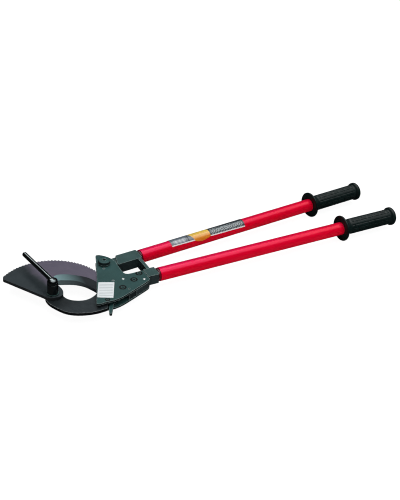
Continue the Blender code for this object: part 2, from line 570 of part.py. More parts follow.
# ---------------------------------------------------------------- blade pivot
stud = [(0.0, -11.4), (7.4, -11.4), (8.4, -10.6), (8.4, -7.5), (6.0, -7.5), (6.0, 20.0), (5.0, 21.0), (0.0, 21.0)]
finish("pivot_stud", z_lathe(stud, PIVOT[0], PIVOT[1], 36), "screw_dark")
washer("pivot_washer_lower", PIVOT[0], PIVOT[1], -7.3, -6.0, 9.4, 6.12, n=36)
PZ = (PIVOT[0], PIVOT[1], 0.0)
washer("lock_washer", PIVOT[0], PIVOT[1], 6.0, 7.5, 9.9, 6.12, n=36, mat="screw_dark", origin=PZ)
hub = [(6.1, 7.7), (8.7, 7.7), (9.0, 8.5), (9.05, 14.0), (8.95, 20.0), (8.8, 24.4), (8.3, 25.2), (6.1, 25.2)]
finish("lock_hub", z_lathe(hub, PIVOT[0], PIVOT[1], 36, True), "black_gloss", origin=PZ)
LEVER_DIR = math.radians(99.5)
LEVER_Z, LEVER_R, LEVER_END = 29.9, 4.1, 91.5
ld = (math.cos(LEVER_DIR), math.sin(LEVER_DIR), 0.0)
rod = [(0.0, 1.0), (LEVER_R, 1.0), (LEVER_R, LEVER_END - 4.1)]
for k in range(1, 7):
    t = math.pi / 2 * k / 6
    rod.append((LEVER_R * math.cos(t) if k < 6 else 0.0, LEVER_END - 4.1 + 4.1 * math.sin(t)))
cap = z_lathe([(0.0, 25.5), (8.2, 25.5), (8.8, 26.3), (8.8, 28.4), (8.3, 30.4), (6.9, 32.4), (4.4, 33.8), (0.0, 34.3)],
              PIVOT[0], PIVOT[1], 36)
rod_bm = lathe_bm(rod, (PIVOT[0], PIVOT[1], LEVER_Z), ld, 24)
finish("lock_lever", combine(cap, [("UNION", rod_bm)]), "black_gloss", origin=PZ)

# ---------------------------------------------------------------- pawls
DP = (DRIVE_PIN[0], DRIVE_PIN[1], 0.0)
PAWL_RIVET = (91.4, -42.0)
pin("drive_pawl_pin", DRIVE_PIN[0], DRIVE_PIN[1], -5.6, 5.6, 2.4, origin=HP)
dist = math.hypot(DP[0] - PIVOT[0], DP[1] - PIVOT[1])
dtip = polar(PAWL_TIP_R, math.degrees(math.atan2(DP[1] - PIVOT[1], DP[0] - PIVOT[0]) - math.acos(
    (dist ** 2 + PAWL_TIP_R ** 2 - DRIVE_PAWL_LENGTH ** 2) / (2 * dist * PAWL_TIP_R))))


def local(origin, tip, pts):
    """Points given as (along, left) of the line from origin to tip."""
    d = Vector((tip[0] - origin[0], tip[1] - origin[1])).normalized()
    return [(origin[0] + d.x * a - d.y * b, origin[1] + d.y * a + d.x * b) for a, b in pts]


dl = math.hypot(dtip[0] - DP[0], dtip[1] - DP[1])
shape = [(-6.0, 0.0), (-5.2, 3.0), (-3.0, 5.2), (0.0, 6.0), (5.0, 5.4), (12.0, 3.6), (20.0, 2.6), (27.0, 2.2), (dl - 2.4, 1.5),
         (dl, 0.0), (dl - 3.0, -1.6), (27.0, -2.6), (20.0, -3.2), (12.0, -4.0), (5.0, -5.4), (0.0, -6.0), (-3.0, -5.2),
         (-5.2, -3.0)]
# the nose is kept outside the tooth-tip circle
shape_w = local(DP, dtip, shape)
shape_w = [p if math.hypot(p[0] - PIVOT[0], p[1] - PIVOT[1]) >= PAWL_TIP_R else
           polar(PAWL_TIP_R, math.degrees(math.atan2(p[1] - PIVOT[1], p[0] - PIVOT[0]))) for p in shape_w]
finish("drive_pawl", combine(prism_bm(shape_w, 0.3, 5.5), [hole(DP[0], DP[1], 2.4 + 0.1, n=24)]), "blade_steel", origin=DP)

HO = (HOLD_PIN[0], HOLD_PIN[1], 0.0)
HOLD_TIP_DEG = -27.3


def strip(line):
    """Outline of a strip along (x, y, half width) points, with a rounded far end."""
    left, right = [], []
    for i, (x, y, h) in enumerate(line):
        a_, b_ = line[max(i - 1, 0)], line[min(i + 1, len(line) - 1)]
        d = Vector((b_[0] - a_[0], b_[1] - a_[1])).normalized()
        left.append((x - d.y * h, y + d.x * h))
        right.append((x + d.y * h, y - d.x * h))
    x, y, h = line[-1]
    e = math.atan2(left[-1][1] - y, left[-1][0] - x)
    end = [(x + h * math.cos(e - math.pi * k / 6), y + h * math.sin(e - math.pi * k / 6)) for k in range(1, 6)]
    return left + end + right[::-1]


arm = [(103.4, -27.0), (96.0, -31.4), (88.0, -36.6), polar(PAWL_TIP_R + 0.5, HOLD_TIP_DEG + 1.0), polar(PAWL_TIP_R, HOLD_TIP_DEG)]
arm += [polar(PAWL_TIP_R + 0.3, HOLD_TIP_DEG - k) for k in (0.3, 2.0, 4.0)]
arm += [(83.6, -49.4), (88.0, -48.6), (97.0, -43.0), (106.0, -37.6)]
eye = ring_pts(HO[0], HO[1], 6.0, 28)
finish("holding_pawl", combine(prism_bm(arm, 0.3, 5.5), [
    ("UNION", prism_bm(eye, 0.32, 5.48)), hole(HO[0], HO[1], SCREW_R + 0.1, n=24),
    hole(HO[0], HO[1], 5.0, 3.0, 9.0, n=24), hole(PAWL_RIVET[0], PAWL_RIVET[1], 1.8 + FIT, n=20)]),
       "blade_steel", origin=HO)
lever = strip([(103.0, -34.6, 5.0), (96.0, -38.8, 4.7), (90.0, -42.2, 4.5), (84.6, -46.2, 4.3), (80.6, -50.4, 4.1), (77.2, -55.2, 3.7),
               (74.6, -60.4, 3.3), (72.2, -65.2, 2.9), (70.1, -69.6, 2.5), (68.3, -73.4, 2.1)])
finish("release_lever", combine(prism_bm(lever, -5.5, -0.3), [
    ("UNION", prism_bm(eye, -5.48, -0.32)), hole(HO[0], HO[1], SCREW_R + 0.1, n=24),
    hole(PAWL_RIVET[0], PAWL_RIVET[1], 1.8 + FIT, n=20)]), "plate_grey", origin=HO)
pin("pawl_rivet", PAWL_RIVET[0], PAWL_RIVET[1], -5.4, 5.4, 1.8, "zinc", origin=HO)


def coil_bm(x, y, z0, z1, radius, wire, turns, per=12, n=6):
    bm = bmesh.new()
    total = int(per * turns)
    rings = []
    for i in range(total + 1):
        t = 2 * math.pi * i / per
        z = z0 + wire + (z1 - z0 - 2 * wire) * i / total
        c = Vector((x + radius * math.cos(t), y + radius * math.sin(t), z))
        rad = Vector((math.cos(t), math.sin(t), 0))
        rings.append([bm.verts.new(c + rad * wire * math.cos(2 * math.pi * k / n) +
                                   Vector((0, 0, 1)) * wire * math.sin(2 * math.pi * k / n)) for k in range(n)])
    for a_, b_ in zip(rings, rings[1:]):
        for k in range(n):
            bm.faces.new((a_[k], a_[(k + 1) % n], b_[(k + 1) % n], b_[k]))
    bm.faces.new(list(reversed(rings[0])))
    bm.faces.new(rings[-1])
    return bm


finish("holding_pawl_spring", coil_bm(HO[0], HO[1], 3.1, 5.5, 3.9, 0.4, 2), "spring_steel")
finish("drive_pawl_spring", coil_bm(DP[0], DP[1], -5.4, -2.1, 3.9, 0.42, 3), "spring_steel", origin=HP)
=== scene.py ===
# Looks for the two-handed ratcheting cable cutter: procedural finishes, edge rounding, ribbed grips,
# camera, light and floor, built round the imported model.
import bpy
import bmesh
import json
import math
from mathutils import Vector, Matrix


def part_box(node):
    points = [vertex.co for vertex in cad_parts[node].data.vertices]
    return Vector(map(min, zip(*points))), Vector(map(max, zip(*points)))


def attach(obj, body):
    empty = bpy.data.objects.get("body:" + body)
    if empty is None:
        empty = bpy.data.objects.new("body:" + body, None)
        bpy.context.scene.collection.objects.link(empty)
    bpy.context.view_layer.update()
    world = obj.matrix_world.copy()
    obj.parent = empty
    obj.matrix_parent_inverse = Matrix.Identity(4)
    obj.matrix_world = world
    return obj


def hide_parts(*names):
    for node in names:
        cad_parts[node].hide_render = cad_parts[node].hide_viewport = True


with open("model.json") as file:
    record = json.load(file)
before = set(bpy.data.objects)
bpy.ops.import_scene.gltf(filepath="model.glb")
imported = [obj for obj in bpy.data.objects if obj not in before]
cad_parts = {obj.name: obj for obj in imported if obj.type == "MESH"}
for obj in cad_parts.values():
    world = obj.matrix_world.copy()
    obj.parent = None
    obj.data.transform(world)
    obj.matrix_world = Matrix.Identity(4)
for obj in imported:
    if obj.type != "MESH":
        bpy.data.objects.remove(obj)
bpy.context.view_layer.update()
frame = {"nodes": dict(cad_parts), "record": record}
nodes = frame["nodes"]
scene = bpy.context.scene

# working-frame millimetres (the CAD source's own) -> row-frame metres
X_SHIFT, Y_SHIFT, Z_SHIFT = 305.8, 16.195, 23.5


def row(x, y, z):
    return Vector(((x - X_SHIFT) / 1000.0, (y - Y_SHIFT) / 1000.0, (z + Z_SHIFT) / 1000.0))


# ---------------------------------------------------------------- camera
cam_data = bpy.data.cameras.new("camera")
cam = bpy.data.objects.new("camera", cam_data)
scene.collection.objects.link(cam)
cam_data.lens = 72.036
cam_data.sensor_width = 36.0
cam_data.sensor_fit = "AUTO"
cam_data.clip_start, cam_data.clip_end = 0.05, 60.0
eye, target = Vector((-0.7635, -1.226195, 0.9876)), Vector((-0.024295, 0.010147, 0.023942))
turn = (target - eye).normalized().to_track_quat("-Z", "Y").to_matrix().to_4x4()
cam.matrix_world = Matrix.Translation(eye) @ turn @ Matrix.Rotation(0.080205, 4, "Z")
scene.camera = cam

# ---------------------------------------------------------------- light, floor, colour
scene.view_settings.view_transform = "Standard"
scene.view_settings.look = "None"
scene.view_settings.exposure = 0.0
scene.view_settings.gamma = 1.0
scene.cycles.filter_width = 1.05

world = bpy.data.worlds.new("studio")
scene.world = world
world.use_nodes = True
wt = world.node_tree
wt.nodes.clear()
w_out = wt.nodes.new("ShaderNodeOutputWorld")
w_bg = wt.nodes.new("ShaderNodeBackground")
w_tc = wt.nodes.new("ShaderNodeTexCoord")
w_dot = wt.nodes.new("ShaderNodeVectorMath")
w_dot.operation = "DOT_PRODUCT"
w_dot.inputs[1].default_value = tuple(Vector((0.16, -0.04, 1.0)).normalized())
w_ramp = wt.nodes.new("ShaderNodeValToRGB")
cr = w_ramp.color_ramp
cr.elements[0].position, cr.elements[0].color = 0.05, (0.002, 0.002, 0.0023, 1)
cr.elements[1].position, cr.elements[1].color = 0.87, (1.0, 1.0, 1.0, 1)
e = cr.elements.new(0.79)
e.color = (0.014, 0.014, 0.016, 1)
wt.links.new(w_tc.outputs["Generated"], w_dot.inputs[0])
wt.links.new(w_dot.outputs["Value"], w_ramp.inputs["Fac"])
wt.links.new(w_ramp.outputs["Color"], w_bg.inputs["Color"])
w_bg.inputs["Strength"].default_value = 2.35
wt.links.new(w_bg.outputs[0], w_out.inputs["Surface"])


def sun(name, direction, strength, angle, colour=(1, 1, 1)):
    data = bpy.data.lights.new(name, "SUN")
    data.energy = strength
    data.angle = math.radians(angle)
    data.color = colour
    ob = bpy.data.objects.new(name, data)
    scene.collection.objects.link(ob)
    ob.rotation_mode = "QUATERNION"
    ob.rotation_quaternion = Vector(direction).normalized().to_track_quat("-Z", "Y")
    return ob


sun("overhead", (-0.25, -0.30, -1.0), 0.35, 30.0)
fill = sun("front_fill", (0.45, 0.85, -0.20), 0.94, 60.0)
fill.visible_glossy = False
glint = sun("back_strip", (-0.107, -0.659, -0.744), 0.62, 24.0)
glint.visible_diffuse = False

# ---------------------------------------------------------------- material tools


class Mat:
    """A Principled material with a few helpers. Coordinates are the row frame's, in metres."""

    def __init__(self, name):
        self.m = bpy.data.materials.new(name)
        self.m.use_nodes = True
        self.nt = self.m.node_tree
        self.nt.nodes.clear()
        self.out = self.nt.nodes.new("ShaderNodeOutputMaterial")
        self.b = self.nt.nodes.new("ShaderNodeBsdfPrincipled")
        self.nt.links.new(self.b.outputs[0], self.out.inputs["Surface"])
        self.tc = self.nt.nodes.new("ShaderNodeTexCoord")
        self.co = self.tc.outputs["Object"]

    def put(self, socket, value):
        s = self.b.inputs[socket]
        if isinstance(value, (int, float)):
            s.default_value = value
        elif isinstance(value, tuple):
            s.default_value = value if len(value) != 3 else (value[0], value[1], value[2], 1.0)
        else:
            self.nt.links.new(value, s)
        return self

    def feed(self, node, i, value):
        s = node.inputs[i]
        if isinstance(value, bpy.types.NodeSocket):
            self.nt.links.new(value, s)
        elif isinstance(value, tuple) and len(value) == 3 and len(s.default_value) == 4:
            s.default_value = (value[0], value[1], value[2], 1.0)
        else:
            s.default_value = value

    def math(self, op, a, b=0.0, c=0.0, clamp=False):
        n = self.nt.nodes.new("ShaderNodeMath")
        n.operation = op
        n.use_clamp = clamp
        for i, v in enumerate((a, b, c)):
            if i < len(n.inputs):
                self.feed(n, i, v)
        return n.outputs[0]

    def scaled(self, x, y, z, turn=0.0, at=(0.0, 0.0, 0.0)):
        """Coordinates relative to at, turned about Z by -turn (degrees), then scaled."""
        n = self.nt.nodes.new("ShaderNodeVectorMath")
        n.operation = "SUBTRACT"
        self.nt.links.new(self.co, n.inputs[0])
        n.inputs[1].default_value = at
        r = self.nt.nodes.new("ShaderNodeVectorRotate")
        r.rotation_type = "Z_AXIS"
        r.inputs["Angle"].default_value = -math.radians(turn)
        self.nt.links.new(n.outputs[0], r.inputs["Vector"])
        s = self.nt.nodes.new("ShaderNodeVectorMath")
        s.operation = "MULTIPLY"
        self.nt.links.new(r.outputs[0], s.inputs[0])
        s.inputs[1].default_value = (x, y, z)
        return s.outputs[0]

    def noise(self, scale, detail=4.0, rough=0.55, co=None, distortion=0.0):
        n = self.nt.nodes.new("ShaderNodeTexNoise")
        n.inputs["Scale"].default_value = scale
        n.inputs["Detail"].default_value = detail
        n.inputs["Roughness"].default_value = rough
        n.inputs["Distortion"].default_value = distortion
        self.nt.links.new(co if co is not None else self.co, n.inputs["Vector"])
        return n.outputs["Fac"]

    def voronoi(self, scale, co=None, feature="F1"):
        n = self.nt.nodes.new("ShaderNodeTexVoronoi")
        n.feature = feature
        n.inputs["Scale"].default_value = scale
        self.nt.links.new(co if co is not None else self.co, n.inputs["Vector"])
        return n.outputs["Distance"]

    def ramp(self, fac, stops, mode="LINEAR"):
        n = self.nt.nodes.new("ShaderNodeValToRGB")
        cr = n.color_ramp
        cr.interpolation = mode
        while len(cr.elements) < len(stops):
            cr.elements.new(0.5)
        for e, (p, c) in zip(cr.elements, stops):
            e.position = p
            e.color = (c, c, c, 1) if isinstance(c, (int, float)) else (c[0], c[1], c[2], 1)
        self.nt.links.new(fac, n.inputs["Fac"])
        return n.outputs["Color"]

    def range(self, fac, a, b, lo, hi, smooth=False):
        n = self.nt.nodes.new("ShaderNodeMapRange")
        n.interpolation_type = "SMOOTHSTEP" if smooth else "LINEAR"
        n.clamp = True
        self.feed(n, 0, fac)
        for i, v in enumerate((a, b, lo, hi), 1):
            self.feed(n, i, v)
        return n.outputs[0]

    def mix(self, fac, a, b, blend="MIX"):
        n = self.nt.nodes.new("ShaderNodeMix")
        n.data_type = "RGBA"
        n.blend_type = blend
        n.clamp_factor = True
        for s, v in zip((n.inputs[0], n.inputs[6], n.inputs[7]), (fac, a, b)):
            if isinstance(v, bpy.types.NodeSocket):
                self.nt.links.new(v, s)
            elif isinstance(v, tuple):
                s.default_value = (v[0], v[1], v[2], 1.0)
            else:
                s.default_value = v
        return n.outputs[2]

    def bump(self, height, strength, distance, normal=None):
        n = self.nt.nodes.new("ShaderNodeBump")
        n.inputs["Strength"].default_value = strength
        n.inputs["Distance"].default_value = distance
        self.nt.links.new(height, n.inputs["Height"])
        if normal is not None:
            self.nt.links.new(normal, n.inputs["Normal"])
        return n.outputs[0]

    def axes(self, co=None):
        n = self.nt.nodes.new("ShaderNodeSeparateXYZ")
        self.nt.links.new(co if co is not None else self.co, n.inputs[0])
        return n.outputs

    def radial(self, centres):
        """Distance in millimetres, seen from above, to the nearest of some row-frame points."""
        best = None
        for c in centres:
            a = self.nt.nodes.new("ShaderNodeVectorMath")
            a.operation = "SUBTRACT"
            self.nt.links.new(self.co, a.inputs[0])
            a.inputs[1].default_value = tuple(c)
            b = self.nt.nodes.new("ShaderNodeVectorMath")
            b.operation = "MULTIPLY"
            self.nt.links.new(a.outputs[0], b.inputs[0])
            b.inputs[1].default_value = (1000.0, 1000.0, 0.0)
            d = self.nt.nodes.new("ShaderNodeVectorMath")
            d.operation = "LENGTH"
            self.nt.links.new(b.outputs[0], d.inputs[0])
            best = d.outputs["Value"] if best is None else self.math("MINIMUM", best, d.outputs["Value"])
        return best

    def up(self):
        """How far the surface faces up or down, 0 on upright sides and 1 on level faces."""
        return self.math("ABSOLUTE", self.axes(self.tc.outputs["Normal"])[2])

    def facet(self):
        """Z of the face's own normal, unsmoothed."""
        g = self.nt.nodes.new("ShaderNodeNewGeometry")
        return self.axes(g.outputs["True Normal"])[2]

    def edge(self, radius, low=0.90, high=0.995):
        """1 on sharp edges, 0 on flat faces."""
        bv = self.nt.nodes.new("ShaderNodeBevel")
        bv.samples = 6
        bv.inputs["Radius"].default_value = radius
        g = self.nt.nodes.new("ShaderNodeNewGeometry")
        d = self.nt.nodes.new("ShaderNodeVectorMath")
        d.operation = "DOT_PRODUCT"
        self.nt.links.new(bv.outputs[0], d.inputs[0])
        self.nt.links.new(g.outputs["Normal"], d.inputs[1])
        return self.range(d.outputs["Value"], low, high, 1.0, 0.0)


# ---------------------------------------------------------------- materials
PIVOT = row(1.0, 1.8, 5.75)


def plate_mat(name, top_a, top_b, side, rough=(0.36, 0.5), metallic=0.05, edge_tint=(0.36, 0.46, 0.45), spec=0.11,
              rings=()):
    """Blackened, faintly green steel with a fine blasted grain; upright sides get a darker colour as painted shade,
    edges a lighter tint as rubbed wear and painted edge highlight, and optional rings of painted shade round screw
    heads.
    """
    m = Mat(name)
    cloud = m.noise(38.0, 5.0, 0.6)
    fine = m.noise(1500.0, 3.0, 0.6)
    scuff = m.noise(1.0, 6.0, 0.65, m.scaled(55.0, 420.0, 120.0, 24.0))
    base = m.mix(m.range(cloud, 0.3, 0.7, 0.0, 1.0), top_a, top_b)
    base = m.mix(m.range(fine, 0.35, 0.75, 0.0, 0.45), base, tuple(c * 1.55 for c in top_b))
    base = m.mix(m.range(scuff, 0.66, 0.78, 0.0, 0.35), base, edge_tint)
    clear = 1.0
    # painted shade: dark rings round the screw heads stand for the shade in the gaps and on the chamfers there; rubbed
    # edges are kept off them
    for centres, inner, outer in rings:
        r = m.radial(centres)
        ring = m.math("MULTIPLY", m.range(r, inner - 0.15, inner + 0.15, 0.0, 1.0), m.range(r, outer, outer + 0.1, 1.0, 0.0))
        base = m.mix(m.math("MULTIPLY", ring, 0.9), base, (0.001, 0.002, 0.002))
        clear = m.math("MULTIPLY", clear, m.range(r, outer, outer + 0.3, 0.0, 1.0))
    # painted shade: upright faces take the darker side colour, level faces the top colour
    level = m.range(m.up(), 0.25, 0.8, 0.0, 1.0, True)
    col = m.mix(level, side, base)
    # rubbed edge wear, also a painted edge highlight: sharp edges lightened towards edge_tint
    wear = m.math("MULTIPLY", m.edge(0.0013), m.range(m.noise(210.0, 4.0, 0.6), 0.34, 0.62, 0.45, 1.0))
    col = m.mix(m.math("MULTIPLY", m.math("MULTIPLY", wear, clear), 0.85), col, edge_tint)
    m.put("Base Color", col).put("Metallic", metallic).put("Specular IOR Level", spec)
    m.put("Roughness", m.range(m.noise(90.0, 4.0, 0.6), 0.3, 0.7, rough[0], rough[1]))
    m.put("Normal", m.bump(fine, 0.16, 0.0002, m.bump(cloud, 0.08, 0.0006)))
    return m.m


def blade_mat(name):
    """Ground blade: purple-grey body, darker towards the free corner and close to the pivot; bevels painted brighter
    near the hub as a painted highlight, and upright sides painted dark as painted shade.
    """
    m = Mat(name)
    x, y, z = m.axes()[0], m.axes()[1], m.axes()[2]
    rel = m.scaled(1.0, 1.0, 1.0, 0.0, tuple(PIVOT))
    rx, ry = m.axes(rel)[0], m.axes(rel)[1]
    radius = m.math("SQRT", m.math("ADD", m.math("MULTIPLY", rx, rx), m.math("MULTIPLY", ry, ry)))
    bearing = m.math("ARCTAN2", ry, rx)
    arc = m.nt.nodes.new("ShaderNodeCombineXYZ")
    m.feed(arc, 0, m.math("MULTIPLY", radius, 900.0))
    m.feed(arc, 1, m.math("MULTIPLY", bearing, 2.0))
    grind = m.noise(1.0, 6.0, 0.7, arc.outputs[0])
    cloud = m.noise(30.0, 4.0, 0.6)
    # the lever side (bearing about 100 degrees) parts the purple and the dark halves
    side = m.range(m.math("ADD", bearing, m.math("MULTIPLY", m.math("SUBTRACT", cloud, 0.5), 0.4)), 1.50, 1.80, 0.0, 1.0, True)
    side = m.math("MAXIMUM", side, m.range(radius, 0.020, 0.027, 1.0, 0.0, True))
    body = m.mix(side, (0.111, 0.102, 0.141), (0.026, 0.036, 0.042))
    body = m.mix(m.range(grind, 0.3, 0.72, 0.0, 0.5), body, m.mix(side, (0.180, 0.156, 0.201), (0.060, 0.074, 0.078)))
    body = m.mix(m.range(cloud, 0.35, 0.7, 0.0, 0.35), body, m.mix(side, (0.069, 0.063, 0.093), (0.018, 0.024, 0.028)))
    up = m.up()
    nz = m.facet()
    # first bevel: level to within about 8 degrees but not flat
    first = m.math("MULTIPLY", m.range(nz, 0.9985, 0.9965, 0.0, 1.0), m.range(nz, 0.95, 0.965, 0.0, 1.0))
    # painted highlight: both bevels are painted bright teal near the hub and fade to dark away from it, over the
    # ground grain
    near = m.range(rx, 0.010, 0.060, 0.0, 1.0)
    first_col = m.mix(near, (0.195, 0.330, 0.350), (0.012, 0.016, 0.020))
    first_col = m.mix(m.range(grind, 0.35, 0.75, 0.0, 0.45), first_col, m.mix(near, (0.330, 0.500, 0.510), (0.022, 0.027, 0.032)))
    col = m.mix(first, body, first_col)
    second = m.math("MULTIPLY", m.range(nz, 0.965, 0.95, 0.0, 1.0), m.range(nz, 0.12, 0.3, 0.0, 1.0))
    col = m.mix(second, col, m.mix(near, (0.060, 0.087, 0.090), (0.012, 0.015, 0.018)))
    # painted shade: upright faces of the blade are painted near black
    sides = m.range(up, 0.3, 0.12, 0.0, 1.0)
    col = m.mix(sides, col, (0.016, 0.018, 0.020))
    wear = m.math("MULTIPLY", m.edge(0.0005), m.range(m.noise(260.0, 3.0, 0.6), 0.35, 0.6, 0.2, 1.0))
    col = m.mix(m.math("MULTIPLY", wear, 0.55), col, (0.15, 0.16, 0.165))
    m.put("Base Color", col).put("Metallic", 0.05).put("Specular IOR Level", 0.05)
    m.put("Roughness", m.range(grind, 0.25, 0.75, 0.34, 0.52))
    m.put("Normal", m.bump(grind, 0.12, 0.00015))
    return m.m


def jaw_mat(name):
    m = Mat(name)
    cloud = m.noise(26.0, 5.0, 0.62)
    grind = m.noise(1.0, 6.0, 0.7, m.scaled(70.0, 900.0, 200.0, -58.0))
    col = m.mix(m.range(cloud, 0.3, 0.72, 0.0, 1.0), (0.017, 0.022, 0.027), (0.033, 0.044, 0.048))
    col = m.mix(m.range(grind, 0.4, 0.75, 0.0, 0.4), col, (0.068, 0.078, 0.084))
    # painted shade: the jaw is darkened towards the pivot boss
    col = m.mix(m.range(m.radial([PIVOT]), 20.0, 52.0, 0.62, 0.0, True), col, (0.006, 0.008, 0.0085))
    # painted shade: upright faces of the jaw are painted near black
    level = m.range(m.up(), 0.2, 0.75, 0.0, 1.0, True)
    col = m.mix(level, (0.004, 0.005, 0.006), col)
    # rubbed edge wear, also a painted edge highlight: sharp edges lightened
    wear = m.math("MULTIPLY", m.edge(0.0010), m.range(m.noise(180.0, 3.0, 0.6), 0.35, 0.6, 0.45, 1.0))
    col = m.mix(m.math("MULTIPLY", wear, 0.85), col, (0.40, 0.43, 0.43))
    m.put("Base Color", col).put("Metallic", 0.05).put("Specular IOR Level", 0.06)
    m.put("Roughness", m.range(grind, 0.25, 0.75, 0.36, 0.5))
    m.put("Normal", m.bump(grind, 0.12, 0.00015, m.bump(cloud, 0.07, 0.0008)))
    return m.m


def red_mat(name, a, b, coat=0.7, metallic=0.0):
    """Gloss powder coat: slight orange peel, tone variation, faint handling scratches and a painted magenta highlight
    tint on up-facing paint.
    """
    m = Mat(name)
    cloud = m.noise(16.0, 4.0, 0.55)
    peel = m.noise(620.0, 2.0, 0.5)
    scratch = m.noise(1.0, 5.0, 0.7, m.scaled(18.0, 900.0, 900.0, 3.0))
    col = m.mix(m.range(cloud, 0.3, 0.7, 0.0, 1.0), a, b)
    # painted highlight: up-facing paint is tinted magenta, strongest near the head end and fading towards the grips
    painted_highlight_tint = m.range(m.axes(m.tc.outputs["Normal"])[2], 0.55, 0.92, 0.0, 1.0, True)
    painted_highlight_tint = m.math("MULTIPLY", painted_highlight_tint, m.range(m.axes()[0], -0.10, 0.24, 1.0, 0.25))
    col = m.mix(painted_highlight_tint, col, (a[0] * 0.97, a[1], a[2] + 0.052 * min(1.0, a[0] * 1.3)))
    col = m.mix(m.range(scratch, 0.68, 0.8, 0.0, 0.3), col, tuple(min(1.0, c * 0.55) for c in a))
    m.put("Base Color", col).put("Metallic", metallic)
    m.put("Roughness", m.range(scratch, 0.3, 0.8, 0.27, 0.42))
    m.put("Specular IOR Level", 0.12)
    m.put("Coat Weight", coat).put("Coat Roughness", 0.07)
    m.put("Normal", m.bump(peel, 0.06, 0.00025))
    return m.m


def black_mat(name):
    m = Mat(name)
    cloud = m.noise(60.0, 4.0, 0.6)
    speck = m.noise(900.0, 2.0, 0.5)
    col = m.mix(m.range(cloud, 0.3, 0.7, 0.0, 1.0), (0.105, 0.122, 0.124), (0.140, 0.160, 0.162))
    wear = m.math("MULTIPLY", m.edge(0.0006), m.range(m.noise(240.0, 3.0, 0.6), 0.45, 0.65, 0.0, 1.0))
    col = m.mix(m.math("MULTIPLY", wear, 0.4), col, (0.20, 0.22, 0.22))
    m.put("Base Color", col).put("Metallic", 1.0)
    m.put("Roughness", m.range(m.noise(140.0, 4.0, 0.6), 0.3, 0.7, 0.13, 0.24))
    m.put("Normal", m.bump(speck, 0.08, 0.00015))
    return m.m


def rubber_mat(name):
    """Moulded rubber: fine pebble, dusty high spots."""
    m = Mat(name)
    cloud = m.noise(45.0, 5.0, 0.62)
    pebble = m.voronoi(1500.0)
    col = m.mix(m.range(cloud, 0.3, 0.72, 0.0, 1.0), (0.0016, 0.0070, 0.0068), (0.0045, 0.0140, 0.0132))
    rub = m.math("MULTIPLY", m.edge(0.0007, 0.86, 0.99), m.range(m.noise(170.0, 4.0, 0.6), 0.36, 0.62, 0.2, 1.0))
    col = m.mix(m.math("MULTIPLY", rub, 0.55), col, (0.045, 0.055, 0.054))
    m.put("Base Color", col).put("Metallic", 0.0).put("Specular IOR Level", 0.28)
    m.put("Roughness", m.range(m.noise(120.0, 4.0, 0.6), 0.3, 0.7, 0.32, 0.46))
    m.put("Normal", m.bump(pebble, 0.10, 0.0002))
    return m.m


def bright_mat(name, a, b, rough=(0.2, 0.36), metallic=0.9):
    m = Mat(name)
    cloud = m.noise(220.0, 4.0, 0.6)
    lines = m.noise(1.0, 5.0, 0.7, m.scaled(200.0, 2600.0, 900.0, 35.0))
    col = m.mix(m.range(cloud, 0.3, 0.7, 0.0, 1.0), a, b)
    col = m.mix(m.range(lines, 0.55, 0.8, 0.0, 0.35), col, tuple(c * 0.6 for c in a))
    wear = m.math("MULTIPLY", m.edge(0.0004), 0.5)
    col = m.mix(wear, col, tuple(min(1.0, c * 1.25) for c in b))
    m.put("Base Color", col).put("Metallic", metallic)
    m.put("Roughness", m.range(lines, 0.3, 0.75, rough[0], rough[1]))
    m.put("Normal", m.bump(lines, 0.10, 0.0001))
    return m.m


LABEL_LO, LABEL_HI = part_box("label_plate")
LABEL_MID = (LABEL_LO + LABEL_HI) / 2
LABEL_TURN = -24.5


def label_mat(name):
    """Plain off-white plate with handling marks and faint ruled lines that stop short of a plain border."""
    m = Mat(name)
    cloud = m.noise(55.0, 5.0, 0.62)
    fine = m.noise(1300.0, 3.0, 0.6)
    col = m.mix(m.range(cloud, 0.28, 0.72, 0.0, 1.0), (0.74, 0.79, 0.81), (0.84, 0.88, 0.90))
    col = m.mix(m.range(m.noise(260.0, 5.0, 0.7), 0.62, 0.74, 0.0, 0.4), col, (0.40, 0.43, 0.44))
    # faint ruled lines across the plate, and a plain border
    local = m.scaled(1000.0, 1000.0, 1000.0, LABEL_TURN, tuple(LABEL_MID))
    ux, uy = m.axes(local)[0], m.axes(local)[1]
    rule = m.math("FRACT", m.math("MULTIPLY", uy, 1.0 / 4.3))
    rule = m.range(m.math("ABSOLUTE", m.math("SUBTRACT", rule, 0.5)), 0.12, 0.20, 1.0, 0.0)
    inside = m.math("MULTIPLY", m.range(m.math("ABSOLUTE", ux), 10.6, 10.9, 1.0, 0.0), m.range(m.math("ABSOLUTE", uy), 18.0, 18.3, 1.0, 0.0))
    col = m.mix(m.math("MULTIPLY", m.math("MULTIPLY", rule, inside), 0.60), col, (0.36, 0.40, 0.42))
    wear = m.math("MULTIPLY", m.edge(0.0005), 0.6)
    col = m.mix(wear, col, (0.45, 0.47, 0.48))
    m.put("Base Color", col).put("Metallic", 0.0)
    m.put("Roughness", m.range(cloud, 0.3, 0.7, 0.36, 0.5))
    m.put("Normal", m.bump(fine, 0.08, 0.0001))
    return m.m


MOVING_BASE = row(177.6, 49.20201, 0.0)
HANDLE_ANGLE = 4.99
DECAL_FROM, DECAL_TO = 58.5, 212.0
DECAL_LOW = (35.0, 22.0)
DECAL_TAB = [(103.5, 0.0), (111.0, -11.0), (119.5, -19.0), (128.0, -12.5), (137.5, 0.0)]


